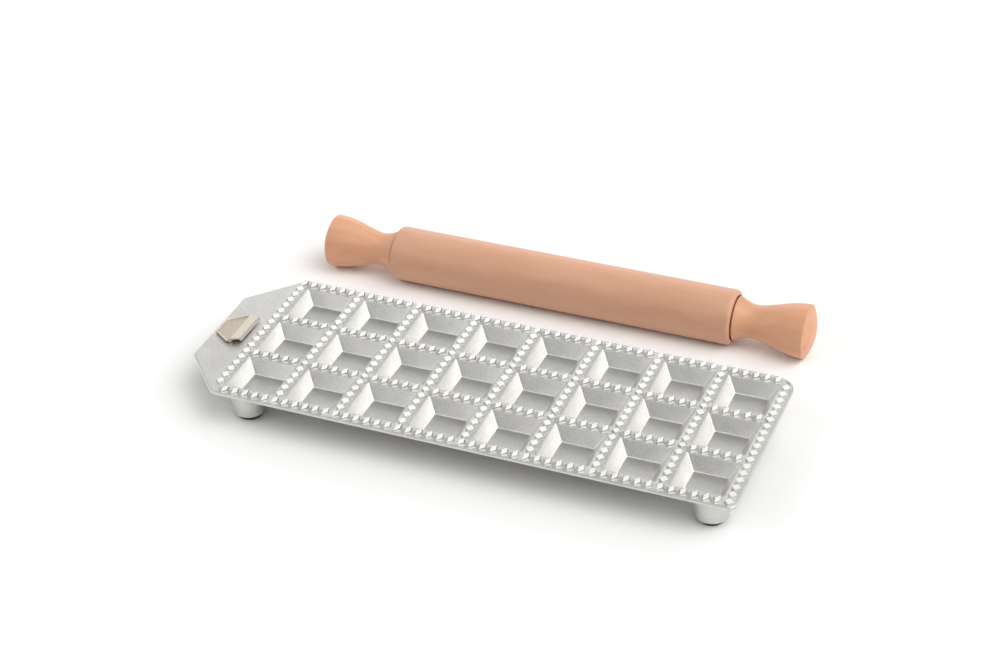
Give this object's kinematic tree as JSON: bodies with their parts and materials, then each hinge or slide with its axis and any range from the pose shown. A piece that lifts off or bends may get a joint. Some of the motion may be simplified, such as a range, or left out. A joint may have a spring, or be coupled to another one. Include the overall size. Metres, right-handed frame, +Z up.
{
  "type": "ravioli mould",
  "caption": "Cast metal ravioli mould tablet with square pockets, toothed cutting ridges and a plain end tab, on padded feet, with the small wooden rolling pin that goes with it.",
  "frame": {"origin": "on the table, at the middle of the set's outline", "axes": "+X along the tablet, from its tab towards its far end; +Y from the tablet towards the rolling pin; +Z up"},
  "size_m": [0.3098, 0.1822, 0.031],
  "materials": {
    "cast_aluminium": "fine cast grain, satin",
    "black_rubber": "matte",
    "satin_nickel": "satin",
    "spring_steel": "plain",
    "barrel_beech": "fine sanded, oiled",
    "handle_beech": "fine sanded, oiled",
    "bright_steel": "drawn",
    "nylon": "moulded, matte"
  },
  "bodies": {
    "mould": {"mould_plate": "cast_aluminium", "foot_pad_front_left": "black_rubber", "foot_pad_front_right": "black_rubber", "foot_pad_back_left": "black_rubber", "foot_pad_back_right": "black_rubber", "plaque": "satin_nickel", "plaque_retainer_front": "spring_steel", "plaque_retainer_back": "spring_steel"},
    "rolling_pin": {"handle_left": "handle_beech", "handle_right": "handle_beech", "axle_rod": "bright_steel"},
    "roller": {"barrel": "barrel_beech", "bush_left": "nylon", "bush_right": "nylon"}
  },
  "joints": [
    {"name": "pin_lift", "type": "slide", "parent": "mould", "child": "rolling_pin", "axis": [0, 0, 1], "range_m": [0, 0.15]},
    {"name": "barrel_spin", "type": "hinge", "parent": "rolling_pin", "child": "roller", "pos_m": [0.00375, 0.0756, 0.0155], "axis": [1, 0, 0], "continuous": true}
  ]
}
